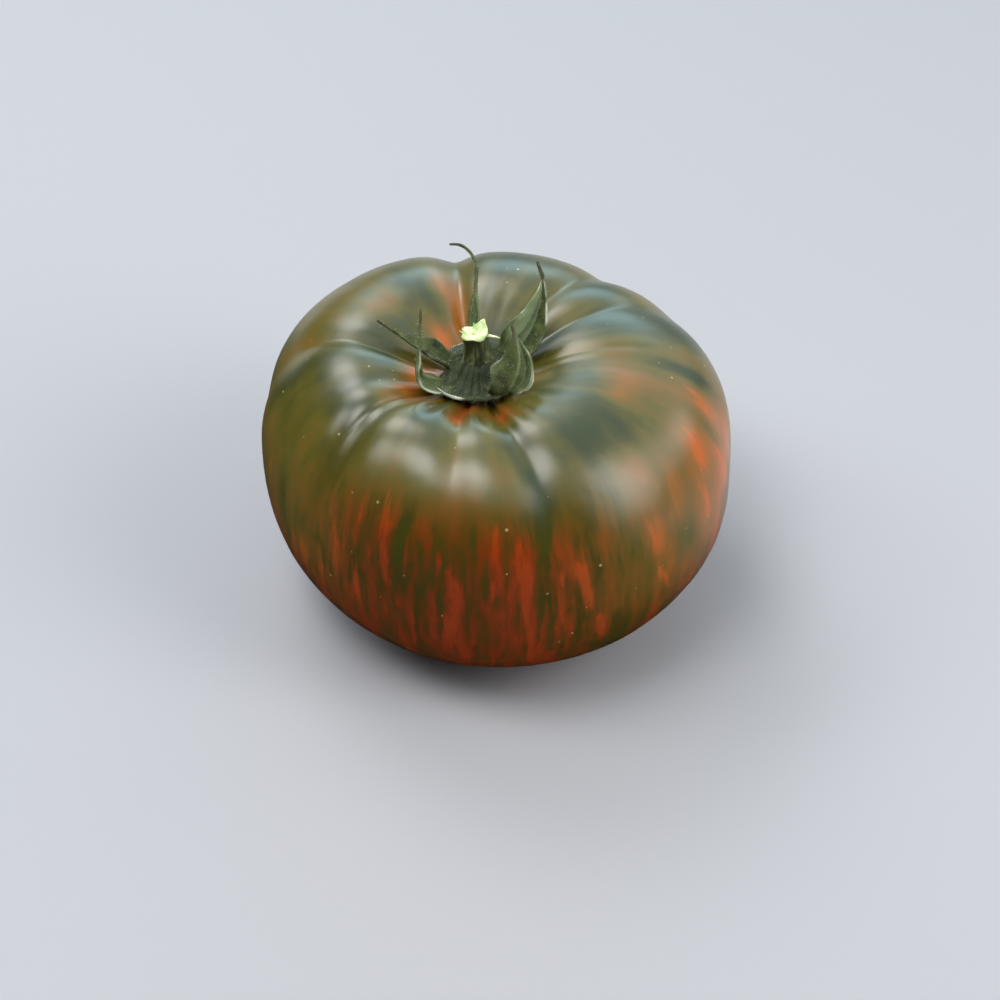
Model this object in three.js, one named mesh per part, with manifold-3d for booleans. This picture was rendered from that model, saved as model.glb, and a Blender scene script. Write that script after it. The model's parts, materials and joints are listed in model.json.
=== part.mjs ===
// A striped beefsteak tomato standing on its blossom end, as picked.
// It is three grown pieces: the lobed fruit, the leafy calyx in the fruit's dimple, and the cut stem stub.
// Millimetres, +Z up. The origin is on the table, under the middle of the tomato.

import * as THREE from "three";
import { mergeVertices } from "three/addons/utils/BufferGeometryUtils.js";
import Module from "manifold-3d";

const wasm = await Module();
wasm.setup();

// Fruit: a superellipse profile turned about the stem, with a dimple on top and a flat spot below
const FRUIT_RADIUS = 38.7; // mean half width at the girth
const SHOULDER_RISE = 26.5; // from the girth up to the shoulders, before the dimple
const BASE_DROP = 27.5; // from the girth down to the table
const BOXINESS = { shoulder: 2.3, base: 2.7 }; // exponents of the profile: 2 is an ellipse, more is squarer
const DIMPLE_DEPTH = 11;
const DIMPLE_RADIUS = 15.7;
const RESTING_RADIUS = 9; // the small flat spot that the fruit stands on
const STEM_OFFSET = new THREE.Vector2(-2.7, -1.9); // the stem's foot, off the middle of the girth
const DIMPLE_CORE = 10; // radius round the stem that is offset as a whole
const PLAN_OVAL = { swell: 1.1, azimuth: -37 }; // longer along this azimuth, in degrees
const PLAN_CORNERS = { swell: 0.5, azimuth: 18 }; // a faint three-cornered plan
const FRUIT_STEPS = { around: 96, down: 38 };

// Furrows between the lobes, as azimuth in degrees, depth at the shoulder, and half width in degrees
const FURROWS = [
  { azimuth: 102, depth: 2.3, spread: 6 },
  { azimuth: 53, depth: 1.3, spread: 6 },
  { azimuth: 29, depth: 0.7, spread: 6 },
  { azimuth: -8, depth: 0.9, spread: 8 },
  { azimuth: -76, depth: 1.6, spread: 6 },
  { azimuth: -101, depth: 0.9, spread: 6 },
  { azimuth: -139, depth: 1.6, spread: 5 },
  { azimuth: -159, depth: 0.5, spread: 6 },
  { azimuth: 171, depth: 1.3, spread: 6 },
  { azimuth: 138, depth: 0.3, spread: 8 },
];
const FURROW_CORE = 20; // radius of the ring inside the fruit that the lobes swell away from
const FURROW_REACH = { from: 0.2, to: 0.85 }; // share of the height over which the furrows deepen
const FURROW_START = { from: 4, to: 10 }; // distance from the stem over which they begin

// Calyx: a thin saucer that lines the dimple, with five sepals grown from it
const SEAT_GAP = 0.3; // between the pieces that touch
const SAUCER_RADIUS = 6.8;
const SAUCER_LIP = { azimuth: -98, spread: 55, reach: 2.9 }; // where its rim runs further out
const SAUCER_THICKNESS = 1;
const COLLAR_RADIUS = 3.1; // the flat-topped rise under the stem
const COLLAR_SKIRT = 2.2; // how far out its slope runs
const COLLAR_HEIGHT = 3.4;
const SAUCER_STEPS = { around: 40, across: 7 };
const SEPAL_THICKNESS = 0.7;
const SEPAL_TIP_WIDTH = 0.75;
const SEPAL_TAPER = { foot: 0.75, swell: 1.1, point: 0.8 }; // width at the foot, growth, slim point
const SEPAL_STEPS = { along: 18, across: 6 };

// Each sepal's middle line from the stem's foot, as [x, y, z], and the azimuth that its back faces
const SEPALS = [
  {
    azimuth: 172,
    width: 4.4,
    cup: 0.45,
    twist: 0,
    path: [[-3, 0.4, 1.6], [-4.7, 0.5, 2.3], [-9.1, 1.2, 5.3], [-13, 1.7, 8.3], [-15.8, 2.1, 10.4]],
  },
  {
    azimuth: -150,
    width: 4,
    cup: 0.5,
    twist: -30,
    path: [
      [-3, -2.2, 1.6], [-6.8, -5.4, 3.5], [-9, -6, 4.6],
      [-9.5, -5.6, 6.9], [-9.1, -4, 10.4], [-8.7, -1, 15.3],
    ],
  },
  {
    azimuth: 92,
    width: 2.6,
    cup: 0.6,
    twist: 0,
    path: [
      [0, 3, 1.6], [-0.5, 5, 3.9], [-0.6, 7, 6.1], [-0.3, 11.5, 10.3],
      [-0.3, 14, 12.6], [-1.4, 15.5, 13.9], [-2.9, 16.2, 14.6], [-4.6, 16.4, 14.6],
    ],
  },
  {
    azimuth: 38,
    width: 4.8,
    cup: 0.6,
    twist: 0,
    path: [
      [2.8, 1.7, 1.6], [6, 3.6, 2.8], [8.7, 5.7, 5.5],
      [10.9, 8.5, 9.4], [10.6, 10.5, 12.3], [9.5, 12, 14.5],
    ],
  },
  {
    azimuth: -45,
    width: 6.2,
    cup: 0.5,
    twist: 0,
    path: [
      [2.2, -2.8, 1.6], [4.1, -6, 2.9], [6.7, -6.6, 5.2], [7.8, -6, 8],
      [7.8, -5, 10.2], [6.9, -3.5, 11.6], [5.3, -2, 12.9],
    ],
  },
];

// Stem stub: a ribbed stalk, cut off flat but a little ragged
const STUB_RADIUS = 2.05;
const STUB_FOOT_RADIUS = 2.7;
const STUB_TOP = 9.6; // the cut end above the fruit's dimple
const STUB_LEAN = new THREE.Vector2(-0.4, 0.2); // how far the cut end stands off the foot
const STUB_RIBS = { count: 5, depth: 0.18 };
const STUB_CUT = { slope: 0.35, rag: 0.4, rags: 3, phase: 1 };
const STUB_STEPS = { around: 30, along: 8 };

const skinMaterial = new THREE.MeshStandardMaterial({ color: 0x6d5a22, roughness: 0.25, metalness: 0 });
const leafMaterial = new THREE.MeshStandardMaterial({ color: 0x4b5c38, roughness: 0.8, metalness: 0 });
const stalkMaterial = new THREE.MeshStandardMaterial({ color: 0x6f7f4a, roughness: 0.85, metalness: 0 });

const radians = THREE.MathUtils.degToRad;
const smoothstep = THREE.MathUtils.smoothstep;

// Height of the fruit's profile above the girth on its upper side, at a distance from the stem
function shoulderHeight(radius) {
  const reach = Math.min(radius / FRUIT_RADIUS, 1);
  const dome = SHOULDER_RISE * (1 - reach ** BOXINESS.shoulder) ** (1 / BOXINESS.shoulder);
  return dome - DIMPLE_DEPTH * Math.exp(-((radius / DIMPLE_RADIUS) ** 2));
}

// Half outline of the fruit, from the dimple's middle down to the rim of the resting spot, above the table
function fruitOutline() {
  const fineSteps = 240;
  const restingReach = (RESTING_RADIUS / FRUIT_RADIUS) ** (BOXINESS.base / 2);
  const lastAngle = Math.PI - Math.asin(restingReach);
  const points = [];
  for (let i = 0; i <= fineSteps; i++) {
    const angle = (lastAngle * i) / fineSteps;
    const upper = angle < Math.PI / 2;
    const squareness = 2 / (upper ? BOXINESS.shoulder : BOXINESS.base);
    const radius = FRUIT_RADIUS * Math.sin(angle) ** squareness;
    const drop = BASE_DROP * Math.abs(Math.cos(angle)) ** squareness;
    points.push(new THREE.Vector2(radius, upper ? shoulderHeight(radius) : -drop));
  }
  const table = points.at(-1).y;
  points.forEach((point) => (point.y -= table));
  return { curve: new THREE.SplineCurve(points), girthHeight: -table };
}

const { curve: outline, girthHeight } = fruitOutline();
const seatHeight = girthHeight + shoulderHeight(0);
const shoulderTop = girthHeight + SHOULDER_RISE;

// Angle from a feature's azimuth to another, in units of the feature's spread
function spreadsApart(azimuth, feature) {
  const turn = azimuth - radians(feature.azimuth);
  return Math.atan2(Math.sin(turn), Math.cos(turn)) / radians(feature.spread);
}

// How deep the furrows cut at an azimuth
function furrowDepth(azimuth) {
  return FURROWS.reduce((sum, furrow) => sum + furrow.depth / (1 + spreadsApart(azimuth, furrow) ** 2), 0);
}

// Moves a point of the round profile to where the lobed, slightly lopsided fruit has it
function lobedPoint(point) {
  const radius = Math.hypot(point.x, point.y);
  const azimuth = Math.atan2(point.y, point.x);
  const rise = smoothstep(point.z / shoulderTop, FURROW_REACH.from, FURROW_REACH.to);
  const start = smoothstep(radius, FURROW_START.from, FURROW_START.to);
  const inward = furrowDepth(azimuth) * rise * start;
  const swellAway = new THREE.Vector2(radius - FURROW_CORE, point.z - girthHeight).normalize();
  const planSwell =
    PLAN_OVAL.swell * Math.cos(2 * (azimuth - radians(PLAN_OVAL.azimuth))) +
    PLAN_CORNERS.swell * Math.cos(3 * (azimuth - radians(PLAN_CORNERS.azimuth)));
  const wide = radius + planSwell * smoothstep(radius, RESTING_RADIUS, FRUIT_RADIUS) - swellAway.x * inward;
  const aside = point.z > girthHeight ? 1 - smoothstep(radius, DIMPLE_CORE, FRUIT_RADIUS) : 0;
  point.set(
    wide * Math.cos(azimuth) + STEM_OFFSET.x * aside,
    wide * Math.sin(azimuth) + STEM_OFFSET.y * aside,
    point.z - swellAway.y * inward,
  );
}

// Calls move on every vertex of a geometry
function moveVertices(geometry, move) {
  const position = geometry.getAttribute("position");
  const point = new THREE.Vector3();
  for (let i = 0; i < position.count; i++) {
    point.fromBufferAttribute(position, i);
    move(point);
    position.setXYZ(i, point.x, point.y, point.z);
  }
  return geometry;
}

// A profile turned about Z as a closed geometry of shared vertices
function turned(profile, around) {
  const geometry = new THREE.LatheGeometry(profile, around).rotateX(Math.PI / 2);
  geometry.deleteAttribute("normal");
  geometry.deleteAttribute("uv");
  const merged = mergeVertices(geometry, 1e-4);
  const corners = [...merged.index.array];
  const kept = [];
  for (let i = 0; i < corners.length; i += 3) {
    const [a, b, c] = corners.slice(i, i + 3);
    if (a !== b && b !== c && c !== a) kept.push(a, b, c);
  }
  return merged.setIndex(kept);
}

function fruit() {
  const side = outline.getSpacedPoints(FRUIT_STEPS.down).reverse();
  side[0].y = 0;
  side.at(-1).x = 0;
  return moveVertices(turned([new THREE.Vector2(0, 0), ...side], FRUIT_STEPS.around), lobedPoint);
}

// Height of the dimple's surface above the stem's foot
function dimpleRise(radius) {
  return shoulderHeight(radius) - shoulderHeight(0);
}

// How far out the saucer's rim is at an azimuth
function saucerReach(azimuth) {
  return SAUCER_RADIUS + SAUCER_LIP.reach * Math.exp(-(spreadsApart(azimuth, SAUCER_LIP) ** 4));
}

// Saucer of the calyx, turned as a unit disc: its underside follows the dimple, its top rises to a collar
function saucer() {
  const shares = [];
  for (let i = 0; i <= SAUCER_STEPS.across; i++) shares.push(i / SAUCER_STEPS.across);
  const under = shares.map((share) => new THREE.Vector2(share, 0));
  const over = shares.map((share) => new THREE.Vector2(share, 1)).reverse();
  return moveVertices(turned([...under, ...over], SAUCER_STEPS.around), (point) => {
    const azimuth = Math.atan2(point.y, point.x);
    const radius = Math.hypot(point.x, point.y) * saucerReach(azimuth);
    const seat = dimpleRise(radius) + SEAT_GAP;
    const skirt = smoothstep(radius, COLLAR_RADIUS, COLLAR_RADIUS + COLLAR_SKIRT);
    const top = THREE.MathUtils.lerp(COLLAR_HEIGHT, seat + SAUCER_THICKNESS, skirt);
    point.set(radius * Math.cos(azimuth), radius * Math.sin(azimuth), point.z > 0.5 ? top : seat);
  });
}

// Share of a sepal's full width along it: a broad foot, then a long taper to a thread
function sepalTaper(share) {
  return (1 - share) ** SEPAL_TAPER.point * (SEPAL_TAPER.foot + SEPAL_TAPER.swell * share);
}

// A gutter-shaped blade of even thickness along a sepal's middle line
function sepal({ azimuth, width, cup, twist, path }) {
  const middle = new THREE.CatmullRomCurve3(path.map((point) => new THREE.Vector3(...point)));
  const sideways = new THREE.Vector3(-Math.sin(radians(azimuth)), Math.cos(radians(azimuth)), 0);
  const { along, across } = SEPAL_STEPS;
  const rowLength = across + 1;
  const inner = [];
  const outer = [];
  for (let i = 0; i <= along; i++) {
    const centre = middle.getPointAt(i / along);
    const tangent = middle.getTangentAt(i / along);
    const side = sideways.clone().projectOnPlane(tangent).normalize();
    side.applyAxisAngle(tangent, radians((twist * i) / along));
    const normal = new THREE.Vector3().crossVectors(tangent, side);
    const halfWidth = Math.max(width * sepalTaper(i / along), SEPAL_TIP_WIDTH) / 2;
    for (let j = 0; j <= across; j++) {
      const place = (2 * j) / across - 1;
      const point = centre.clone().addScaledVector(side, halfWidth * place);
      point.addScaledVector(normal, cup * halfWidth * place * place);
      inner.push(point.clone().addScaledVector(normal, SEPAL_THICKNESS / 2));
      outer.push(point.addScaledVector(normal, -SEPAL_THICKNESS / 2));
    }
  }
  const behind = inner.length; // index of the outer face's first vertex
  const faces = [];
  const quad = (a, b, c, d) => faces.push(a, b, c, a, c, d);
  for (let i = 0; i < along; i++) {
    for (let j = 0; j < across; j++) {
      const a = i * rowLength + j;
      const corners = [a, a + rowLength, a + rowLength + 1, a + 1];
      quad(...corners);
      const [p, q, r, s] = corners.map((corner) => corner + behind);
      faces.push(p, r, q, p, s, r);
    }
    const left = i * rowLength;
    const right = left + across;
    quad(left, left + behind, left + rowLength + behind, left + rowLength);
    quad(right, right + rowLength, right + rowLength + behind, right + behind);
  }
  for (let j = 0; j < across; j++) {
    const last = along * rowLength + j;
    quad(j, j + 1, j + 1 + behind, j + behind);
    quad(last, last + behind, last + 1 + behind, last + 1);
  }
  return new THREE.BufferGeometry().setFromPoints([...inner, ...outer]).setIndex(faces);
}

function solidOf(geometry) {
  const vertProperties = new Float32Array(geometry.getAttribute("position").array);
  const triVerts = new Uint32Array(geometry.index.array);
  return new wasm.Manifold(new wasm.Mesh({ numProp: 3, vertProperties, triVerts }));
}

function geometryOf(solid) {
  const { vertProperties, triVerts } = solid.getMesh();
  const geometry = new THREE.BufferGeometry();
  geometry.setAttribute("position", new THREE.BufferAttribute(new Float32Array(vertProperties), 3));
  return geometry.setIndex(new THREE.BufferAttribute(new Uint32Array(triVerts), 1));
}

function calyx() {
  return geometryOf(SEPALS.reduce((joined, spec) => joined.add(solidOf(sepal(spec))), solidOf(saucer())));
}

// Stem stub: turned, then ribbed, leaned and cut raggedly
function stemStub() {
  const foot = COLLAR_HEIGHT + SEAT_GAP;
  const height = STUB_TOP - foot;
  const profile = [new THREE.Vector2(0, foot)];
  for (let i = 0; i <= STUB_STEPS.along; i++) {
    const share = i / STUB_STEPS.along;
    const flare = (STUB_FOOT_RADIUS - STUB_RADIUS) * (1 - share) ** 3;
    profile.push(new THREE.Vector2(STUB_RADIUS + flare, foot + height * share));
  }
  profile.push(new THREE.Vector2(0, STUB_TOP));
  return moveVertices(turned(profile, STUB_STEPS.around), (point) => {
    const share = (point.z - foot) / height;
    const azimuth = Math.atan2(point.y, point.x);
    const reach = Math.hypot(point.x, point.y) / STUB_RADIUS;
    const rib = 1 + (STUB_RIBS.depth / STUB_RADIUS) * Math.cos(STUB_RIBS.count * azimuth);
    const rag = STUB_CUT.rag * reach * Math.sin(STUB_CUT.rags * azimuth + STUB_CUT.phase);
    point.x = point.x * rib + STUB_LEAN.x * share * share;
    point.y = point.y * rib + STUB_LEAN.y * share * share;
    if (share > 0.99) point.z += reach * (STUB_CUT.slope * Math.cos(azimuth) + rag);
  });
}

function piece(name, geometry, material) {
  const mesh = new THREE.Mesh(geometry, material);
  mesh.name = name;
  return mesh;
}

const stemEnd = new THREE.Group();
stemEnd.position.set(STEM_OFFSET.x, STEM_OFFSET.y, seatHeight);
stemEnd.add(piece("calyx", calyx(), leafMaterial), piece("stem_stub", stemStub(), stalkMaterial));

const tomato = new THREE.Group();
tomato.add(piece("fruit", fruit(), skinMaterial), stemEnd);

// The origin goes under the middle of the whole tomato
const middle = new THREE.Box3().setFromObject(tomato).getCenter(new THREE.Vector3());
tomato.position.set(-middle.x, -middle.y, 0);

export default tomato;
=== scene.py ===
import json
import math

import bpy
import numpy as np
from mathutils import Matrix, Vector, noise
from mathutils.bvhtree import BVHTree
from mathutils.kdtree import KDTree

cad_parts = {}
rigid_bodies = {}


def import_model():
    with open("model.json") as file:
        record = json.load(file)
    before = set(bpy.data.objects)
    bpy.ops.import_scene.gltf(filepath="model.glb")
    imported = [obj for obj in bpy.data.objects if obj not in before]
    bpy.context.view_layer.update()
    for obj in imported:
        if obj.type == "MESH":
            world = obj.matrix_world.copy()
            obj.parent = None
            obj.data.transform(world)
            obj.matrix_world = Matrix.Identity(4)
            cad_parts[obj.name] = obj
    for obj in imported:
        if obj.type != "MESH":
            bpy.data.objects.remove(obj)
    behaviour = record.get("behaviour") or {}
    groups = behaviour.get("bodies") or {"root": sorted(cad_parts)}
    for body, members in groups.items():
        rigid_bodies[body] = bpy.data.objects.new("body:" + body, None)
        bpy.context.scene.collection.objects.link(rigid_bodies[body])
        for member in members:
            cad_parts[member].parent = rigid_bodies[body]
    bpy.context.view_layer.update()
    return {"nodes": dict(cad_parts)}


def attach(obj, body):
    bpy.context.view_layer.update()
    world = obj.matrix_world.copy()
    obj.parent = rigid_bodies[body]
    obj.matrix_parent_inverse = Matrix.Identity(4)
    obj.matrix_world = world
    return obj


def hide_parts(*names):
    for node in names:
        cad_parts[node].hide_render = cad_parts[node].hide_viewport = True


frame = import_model()
mm = 0.001  # sizes below are in millimetres, Blender's are in metres


# small tools that every piece uses

def selectOnly(*objects):
    if bpy.context.object and bpy.context.object.mode != "OBJECT":
        bpy.ops.object.mode_set(mode="OBJECT")
    bpy.ops.object.select_all(action="DESELECT")
    for obj in objects:
        obj.select_set(True)
    bpy.context.view_layer.objects.active = objects[0]


def applyModifier(obj, kind, **settings):
    selectOnly(obj)
    modifier = obj.modifiers.new(kind.title(), kind)
    for name, value in settings.items():
        setattr(modifier, name, value)
    bpy.ops.object.modifier_apply(modifier=modifier.name)


def getPoints(mesh):
    flat = np.empty(len(mesh.vertices) * 3)
    mesh.vertices.foreach_get("co", flat)
    return flat.reshape(-1, 3)


def getNormals(mesh):
    flat = np.empty(len(mesh.vertices) * 3)
    mesh.vertex_normals.foreach_get("vector", flat)
    return flat.reshape(-1, 3)


def setPoints(mesh, points):
    mesh.vertices.foreach_set("co", np.ascontiguousarray(points, np.float32).ravel())
    mesh.update()


def setAttribute(mesh, name, values, kind="FLOAT"):
    attribute = mesh.attributes.new(name, kind, "POINT")
    field = "value" if kind == "FLOAT" else "vector"
    attribute.data.foreach_set(field, np.ascontiguousarray(values, np.float32).ravel())


def getAttribute(mesh, name, size):
    flat = np.empty(len(mesh.vertices) * size)
    mesh.attributes[name].data.foreach_get("value" if size == 1 else "vector", flat)
    return flat.reshape(-1, size)


def smoothRamp(values, low, high):
    share = np.clip((values - low) / (high - low), 0, 1)
    return share * share * (3 - 2 * share)


def turnApart(azimuths, middle):
    return (azimuths - middle + 180) % 360 - 180  # degrees, the short way round


class Nodes:
    # node tree of a material, a light or the world, with short ways to add and join nodes

    def __init__(self, owner):
        owner.use_nodes = True
        self.owner = owner
        self.tree = owner.node_tree

    def add(self, kind, inputs=None, **settings):
        node = self.tree.nodes.new("ShaderNode" + kind)
        for name, value in settings.items():
            setattr(node, name, value)
        for name, value in (inputs or {}).items():
            self.feed(node, name, value)
        return node

    def feed(self, node, name, value):
        socket = (self.tree.nodes[node] if isinstance(node, str) else node).inputs[name]
        if isinstance(value, bpy.types.NodeSocket):
            self.tree.links.new(value, socket)
        elif isinstance(value, tuple) and len(value) == 3 and socket.type == "RGBA":
            socket.default_value = (*value, 1)
        else:
            socket.default_value = value

    def surface(self, name, value):
        self.feed("Principled BSDF", name, value)

    def attribute(self, name, output="Fac"):
        return self.add("Attribute", attribute_name=name).outputs[output]

    def math(self, operation, first, second=0.0, third=0.0):
        return self.add("Math", {0: first, 1: second, 2: third}, operation=operation).outputs[0]

    def vector(self, operation, first, second, output="Vector"):
        return self.add("VectorMath", {0: first, 1: second}, operation=operation).outputs[output]

    def ramp(self, value, low, high):
        node = self.add("MapRange", {"Value": value, "From Min": low, "From Max": high},
                        interpolation_type="SMOOTHSTEP")
        return node.outputs[0]

    def noise(self, vector, stretch, detail=2.0, roughness=0.5, output="Fac"):
        scaled = self.vector("MULTIPLY", vector, stretch)
        return self.add("TexNoise", {"Vector": scaled, "Scale": 1.0, "Detail": detail,
                                     "Roughness": roughness}).outputs[output]

    def mix(self, factor, first, second):
        node = self.add("Mix", {"Factor": factor, "A": first, "B": second}, data_type="RGBA")
        return node.outputs["Result"]

    def colors(self, value, stops):
        node = self.add("ValToRGB", {"Fac": value})
        band = node.color_ramp
        while len(band.elements) < len(stops):
            band.elements.new(0.5)
        for element, (place, color) in zip(band.elements, stops):
            element.position = place
            element.color = (*color, 1)
        return node.outputs["Color"]

    def bump(self, height, strength, distance):
        node = self.add("Bump", {"Height": height, "Strength": strength, "Distance": distance})
        self.surface("Normal", node.outputs[0])


def toward(azimuth, elevation):
    around, up = math.radians(azimuth), math.radians(elevation)
    return Vector((math.cos(up) * math.cos(around), math.cos(up) * math.sin(around), math.sin(up)))


def finishPiece(obj, material, replaced=None):
    obj.data.materials.clear()
    obj.data.materials.append(material)
    selectOnly(obj)
    bpy.ops.object.shade_smooth()
    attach(obj, "root")
    if replaced:
        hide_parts(replaced)
    print("piece", obj.name, len(obj.data.vertices), "vertices")


# places taken from the frame

stubPoints = getPoints(frame["nodes"]["stem_stub"].data)
fruitPoints = getPoints(frame["nodes"]["fruit"].data)
stemAxis = stubPoints[stubPoints[:, 2] < stubPoints[:, 2].min() + 0.1 * mm].mean(0)[:2]
blossomAxis = fruitPoints[fruitPoints[:, 2] < 0.01 * mm].mean(0)[:2]
nearStem = np.hypot(*(fruitPoints[:, :2] - stemAxis).T) < 0.5 * mm
stemFoot = np.array([*stemAxis, fruitPoints[nearStem, 2].min()])
print("stem foot", stemFoot.round(5), "blossom end", blossomAxis.round(5))


# camera

view = {"target": (0.6, 0, 15), "elevation": 43, "distance": 404.2, "lens": 86.4}


def makeCamera():
    tilt = math.radians(view["elevation"])
    back = Vector((0, -math.cos(tilt), math.sin(tilt)))
    place = (Vector(view["target"]) + back * view["distance"]) * mm
    bpy.ops.object.camera_add(location=place, rotation=(math.pi / 2 - tilt, 0, 0))
    camera = bpy.context.object
    camera.data.lens = view["lens"]
    camera.data.clip_start = 0.01
    bpy.context.scene.camera = camera


makeCamera()
bpy.context.scene.view_settings.view_transform = "Standard"
print("camera done")


# studio: pale floor, soft boxes given by where they hang as seen from the fruit

studio = {
    "floorColor": (0.36, 0.372, 0.405),
    "floorBounce": (0.72, 0.63, 0.5),  # what the floor throws back on the fruit
    "backdrop": (0.62, 0.68, 0.78),
    # the sky is bright about this direction, and dims from the second to the first cosine off it
    "skyMiddle": (60, 62),
    "skyReach": (0.3, 0.75),
    "skyBright": (1.2, 1.36, 1.46),
    "skyDim": (0.045, 0.045, 0.05),
    "skyOnDull": 0.3,  # share of the sky that falls on what isn't glossy
    "dullFloor": (-130, 0.97),  # side on which the skin mirrors less of the floor, and how much less
    "floorFade": (0.35, 1.0),  # distances in metres over which the floor turns into the backdrop
    # azimuth, elevation, distance, width and height in metres, brightness, colour
    "softBoxes": [
        (-144, 67, 0.7, (0.62, 0.5), 8.4, (1, 0.97, 0.94)),
        (178, 43, 0.7, (0.42, 0.46), 5.4, (1, 1, 0.97)),
        (122, 48, 0.7, (0.58, 0.54), 6.2, (1, 0.98, 0.95)),
        (-22, 32, 0.7, (0.58, 0.96), 5.6, (1, 0.95, 0.89)),
        (16, 20, 0.7, (0.5, 0.4), 2.7, (1, 0.93, 0.85)),
        (84, 22, 0.9, (1.0, 0.56), 2.4, (0.52, 0.86, 1)),
    ],
    "softEdge": 0.4,  # share of a soft box's half width over which it dims to nothing
}


def makeSoftBox(azimuth, elevation, away, size, bright, color):
    side = toward(azimuth, elevation)
    centre = Vector((0, 0, 0.03))
    turn = side.to_track_quat("Z", "Y").to_euler()
    bpy.ops.object.light_add(type="AREA", location=centre + side * away, rotation=turn)
    light = bpy.context.object.data
    light.shape = "ELLIPSE"
    light.size, light.size_y = size
    light.color = color
    light.energy = bright * math.pi * size[0] * size[1]
    glow = Nodes(light)
    place = glow.add("NewGeometry").outputs["Parametric"]
    offMiddle = glow.vector("DISTANCE", place, (0.5, 0.5, 0), "Value")
    glow.feed("Emission", "Strength", glow.ramp(offMiddle, 0.5, 0.5 - studio["softEdge"]))


def makeWorld():
    world = bpy.data.worlds.new("studio")
    bpy.context.scene.world = world
    sky = Nodes(world)
    rays = sky.add("LightPath").outputs
    direction = sky.add("TexCoord").outputs["Generated"]
    nearMiddle = sky.vector("DOT_PRODUCT", direction, toward(*studio["skyMiddle"]), "Value")
    color = sky.mix(sky.ramp(nearMiddle, *studio["skyReach"]), studio["skyDim"], studio["skyBright"])
    sky.feed("Background", "Color", sky.mix(rays["Is Camera Ray"], color, studio["backdrop"]))
    dull = sky.math("MULTIPLY_ADD", rays["Is Diffuse Ray"], studio["skyOnDull"] - 1, 1.0)
    sky.feed("Background", "Strength", dull)


def makeFloor():
    bpy.ops.mesh.primitive_circle_add(vertices=96, radius=4, fill_type="NGON")
    floor = bpy.context.object
    floor.name = "floor"
    plain = Nodes(bpy.data.materials.new("plain pale floor"))
    rays = plain.add("LightPath").outputs
    place = plain.add("TexCoord").outputs["Object"]
    side, share = studio["dullFloor"]
    ahead = plain.ramp(plain.vector("DOT_PRODUCT", place, toward(side, 0), "Value"), -0.06, 0.0)
    dull = plain.math("MULTIPLY", plain.math("MULTIPLY", ahead, rays["Is Glossy Ray"]), share)
    away = plain.ramp(plain.vector("LENGTH", place, (0, 0, 0), "Value"), *studio["floorFade"])
    away = plain.math("MULTIPLY", away, rays["Is Camera Ray"])
    color = plain.mix(rays["Is Diffuse Ray"], studio["floorColor"], studio["floorBounce"])
    color = plain.mix(dull, color, (0, 0, 0))
    plain.surface("Base Color", plain.mix(away, color, (0, 0, 0)))
    plain.surface("Emission Color", plain.mix(away, (0, 0, 0), studio["backdrop"]))
    plain.surface("Emission Strength", 1.0)
    plain.surface("Roughness", 0.8)
    plain.surface("Specular IOR Level", 0.1)
    floor.data.materials.append(plain.owner)


makeFloor()
makeWorld()
for softBox in studio["softBoxes"]:
    makeSoftBox(*softBox)
print("studio done")


# fruit: the lobed berry, its skin lines run from the stem to the blossom end

fruit = {
    "coreRadius": 20,  # ring inside the flesh that the skin turns about
    "girthHeight": 27.2,
    "girthRadius": 38.7,
    "asideCore": 10,  # the stem end sits off the middle as a whole within this radius
    "sunk": 0.04,  # the skin lies this far inside the solid, so that its swells stay within it
    "swell": (0.16, 70),  # slow unevenness: height in mm, waves per metre
    "ripple": (0.045, 240),
    "peel": (0.012, 800),
    "creases": [
        # azimuth, depth in mm, half width in degrees, tilt where it fades
        (102, 0.2, 1.6, 20), (53, 0.15, 1.5, 45), (-142, 0.35, 1.2, 42), (-76, 0.18, 3, 30),
        (-101, 0.1, 2.2, 50), (171, 0.25, 1.6, 40), (2, 0.16, 2, 60), (29, 0.16, 2, 55),
    ],
    # stretches of a furrow that are shallower: azimuth, height in mm, half width in degrees, lowest and highest tilt
    "fills": [(-76, 0.6, 6, 30, 48), (-8, 0.55, 8, 60, 105)],
    "shoulderPleats": (0.2, 26),  # small pleats that run under the calyx: depth in mm, how many
    "scar": {"radius": 2.1, "depth": 0.5},
}
# ripe streaks: azimuth at top and bottom, tilt at top and bottom, width in mm, strength
ripeStreaks = [
    (-165, -165, 24, 2, 2.0, 0.7), (-146, -146, 2, -22, 1.5, 0.5), (-139, -138, 8, -20, 1.4, 0.9),
    (-134, -131, 29, 10, 1.3, 0.8), (-125, -126, 6, -22, 1.5, 0.7), (-119, -116.5, 55, 2, 1.6, 1.0),
    (-109, -108, 36, 4, 1.4, 0.7), (-104, -103, 33, 18, 1.2, 0.9), (-101, -100, 27, -30, 2.4, 1.0),
    (-98, -98.5, 18, -8, 1.0, 0.7), (-89, -90, 48, 5, 1.8, 0.9), (-84, -80, 40, -50, 2.2, 1.0),
    (-75, -73, 25, -20, 2.0, 0.9), (-70, -67, 25, -12, 2.2, 1.0), (-66, -63, -8, -34, 2.2, 0.9),
    (-53, -51, -8, -30, 1.3, 0.5), (-50, -50, 36, 8, 1.8, 0.45), (-49, -45, 4, -18, 1.8, 0.8),
    (-39, -43, 46, 22, 2.2, 0.3), (-31, -30, 34, 4, 2.4, 0.4), (-24, -29, 56, 26, 2.8, 0.4),
    (-19, -18, 36, 4, 2.2, 0.4), (-10, -13, 60, 38, 2.8, 0.4),
]
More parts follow.
